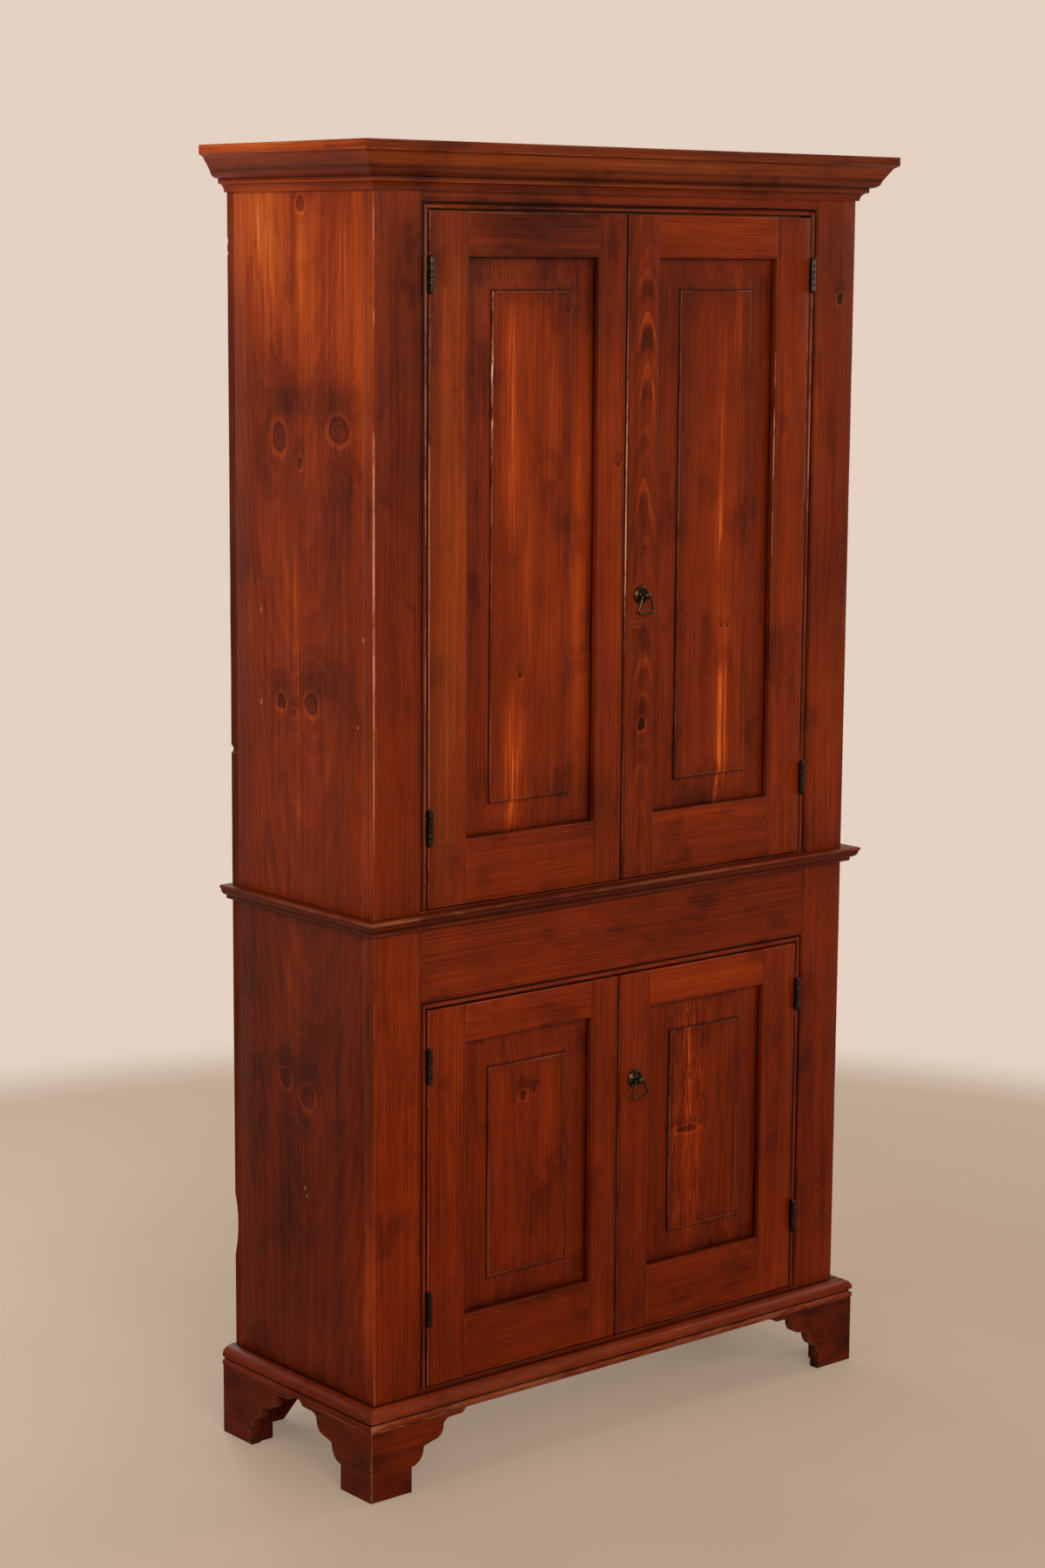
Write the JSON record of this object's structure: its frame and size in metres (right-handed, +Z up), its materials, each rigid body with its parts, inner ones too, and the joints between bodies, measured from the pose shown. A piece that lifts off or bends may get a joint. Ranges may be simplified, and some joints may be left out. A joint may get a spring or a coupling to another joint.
{
  "type": "pantry cupboard",
  "caption": "Tall stained pine cupboard: upper and lower case with panelled doors on butt hinges, moulded cornice, waist and base, scalloped bracket feet, drop-handle turns",
  "frame": {"origin": "on the floor, under the middle of the box around the whole cupboard", "axes": "+Z up, +X to the right of someone who faces the doors, the doors face -Y"},
  "size_m": [1.107, 0.4276, 2.08],
  "materials": {
    "stained_pine": "satin red-brown stain",
    "pine_panel": "satin red-brown stain",
    "pine_moulding": "satin dark red-brown stain",
    "back_pine": "unpolished, thin stain",
    "bare_pine": "unpolished",
    "aged_iron": "dark, worn"
  },
  "bodies": {
    "case": {"upper_left_side": "stained_pine", "upper_right_side": "stained_pine", "upper_back": "back_pine", "upper_top_board": "bare_pine", "upper_bottom_board": "bare_pine", "upper_face_frame": "stained_pine", "upper_opening_bead": "pine_moulding", "upper_door_stop": "bare_pine", "upper_shelf_1": "bare_pine", "upper_shelf_2": "bare_pine", "upper_shelf_3": "bare_pine", "upper_left_bottom_hinge_frame_leaf": "aged_iron", "upper_left_top_hinge_frame_leaf": "aged_iron", "upper_right_bottom_hinge_frame_leaf": "aged_iron", "upper_right_top_hinge_frame_leaf": "aged_iron", "lower_left_side": "stained_pine", "lower_right_side": "stained_pine", "lower_back": "back_pine", "lower_top_board": "bare_pine", "lower_bottom_board": "bare_pine", "lower_face_frame": "stained_pine", "lower_opening_bead": "pine_moulding", "lower_door_stop": "bare_pine", "lower_shelf_1": "bare_pine", "lower_left_bottom_hinge_frame_leaf": "aged_iron", "lower_left_top_hinge_frame_leaf": "aged_iron", "lower_right_bottom_hinge_frame_leaf": "aged_iron", "lower_right_top_hinge_frame_leaf": "aged_iron", "cornice": "pine_moulding", "waist_moulding": "pine_moulding", "base_moulding": "pine_moulding", "left_front_foot": "stained_pine", "left_rear_foot": "stained_pine", "right_front_foot": "stained_pine", "right_rear_foot": "stained_pine"},
    "upper_left_door": {"upper_left_door_frame": "stained_pine", "upper_left_door_panel": "pine_panel", "upper_left_bottom_hinge_door_leaf": "aged_iron", "upper_left_top_hinge_door_leaf": "aged_iron"},
    "upper_right_door": {"upper_right_door_frame": "stained_pine", "upper_right_door_panel": "pine_panel", "upper_right_bottom_hinge_door_leaf": "aged_iron", "upper_right_top_hinge_door_leaf": "aged_iron", "upper_turn_rosette": "aged_iron"},
    "upper_turn": {"upper_turn_spindle": "aged_iron"},
    "upper_bail": {"upper_turn_bail": "aged_iron"},
    "lower_left_door": {"lower_left_door_frame": "stained_pine", "lower_left_door_panel": "pine_panel", "lower_left_bottom_hinge_door_leaf": "aged_iron", "lower_left_top_hinge_door_leaf": "aged_iron"},
    "lower_right_door": {"lower_right_door_frame": "stained_pine", "lower_right_door_panel": "pine_panel", "lower_right_bottom_hinge_door_leaf": "aged_iron", "lower_right_top_hinge_door_leaf": "aged_iron", "lower_turn_rosette": "aged_iron"},
    "lower_turn": {"lower_turn_spindle": "aged_iron"},
    "lower_bail": {"lower_turn_bail": "aged_iron"}
  },
  "joints": [
    {"name": "upper_left_door_hinge", "type": "hinge", "parent": "case", "child": "upper_left_door", "pos_m": [-0.3991, -0.16905, 1.4507], "axis": [0, 0, -1], "range_deg": [0, 165]},
    {"name": "upper_right_door_hinge", "type": "hinge", "parent": "case", "child": "upper_right_door", "pos_m": [0.3991, -0.16905, 1.4507], "axis": [0, 0, 1], "range_deg": [0, 165]},
    {"name": "upper_turn_spin", "type": "hinge", "parent": "upper_right_door", "child": "upper_turn", "pos_m": [0.03225, -0.16325, 1.381], "axis": [0, -1, 0], "range_deg": [0, 90]},
    {"name": "upper_bail_swing", "type": "hinge", "parent": "upper_turn", "child": "upper_bail", "pos_m": [0.03225, -0.17816, 1.381], "axis": [-1, 0, 0], "range_deg": [0, 160]},
    {"name": "lower_left_door_hinge", "type": "hinge", "parent": "case", "child": "lower_left_door", "pos_m": [-0.3991, -0.16905, 0.45825], "axis": [0, 0, -1], "range_deg": [0, 165]},
    {"name": "lower_right_door_hinge", "type": "hinge", "parent": "case", "child": "lower_right_door", "pos_m": [0.3991, -0.16905, 0.45825], "axis": [0, 0, 1], "range_deg": [0, 165]},
    {"name": "lower_turn_spin", "type": "hinge", "parent": "lower_right_door", "child": "lower_turn", "pos_m": [0.03225, -0.16325, 0.585], "axis": [0, -1, 0], "range_deg": [0, 90]},
    {"name": "lower_bail_swing", "type": "hinge", "parent": "lower_turn", "child": "lower_bail", "pos_m": [0.03225, -0.17816, 0.585], "axis": [-1, 0, 0], "range_deg": [0, 160]}
  ]
}
